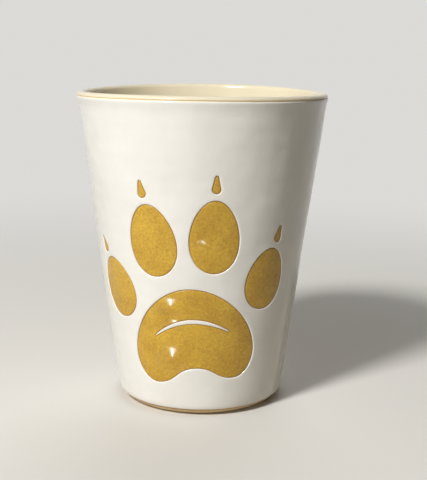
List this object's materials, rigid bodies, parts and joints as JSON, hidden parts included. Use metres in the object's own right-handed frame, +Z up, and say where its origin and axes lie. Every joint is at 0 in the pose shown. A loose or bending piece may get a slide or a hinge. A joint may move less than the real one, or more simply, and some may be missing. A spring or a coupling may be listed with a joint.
{
  "type": "handleless ceramic mug",
  "caption": "Tapered handleless ceramic mug with a rounded glazed lip, a thick white outer coat and ochre paw prints set into windows in the coat.",
  "frame": {"origin": "centre of the flat foot ring that the mug stands on, at table height", "axes": "+Z up the mug's own axis towards the mouth; -Y is the front, where the first paw print is"},
  "size_m": [0.088, 0.088, 0.11],
  "materials": {
    "fired_clay": "unglazed, sanded smooth at the foot",
    "clear_glaze": "glossy, honey-cream over buff clay",
    "white_coat": "glossy warm white",
    "ochre_slip": "glossy ochre with fine brown specks"
  },
  "bodies": {
    "root": {"clay_body": "fired_clay", "liner_glaze": "clear_glaze", "white_coat": "white_coat", "paw_1_heel_pad": "ochre_slip", "paw_1_toe_1": "ochre_slip", "paw_1_claw_1": "ochre_slip", "paw_1_toe_2": "ochre_slip", "paw_1_claw_2": "ochre_slip", "paw_1_toe_3": "ochre_slip", "paw_1_claw_3": "ochre_slip", "paw_1_toe_4": "ochre_slip", "paw_1_claw_4": "ochre_slip", "paw_1_crescent": "white_coat", "paw_2_heel_pad": "ochre_slip", "paw_2_toe_1": "ochre_slip", "paw_2_claw_1": "ochre_slip", "paw_2_toe_2": "ochre_slip", "paw_2_claw_2": "ochre_slip", "paw_2_toe_3": "ochre_slip", "paw_2_claw_3": "ochre_slip", "paw_2_toe_4": "ochre_slip", "paw_2_claw_4": "ochre_slip", "paw_2_crescent": "white_coat"}
  },
  "joints": []
}
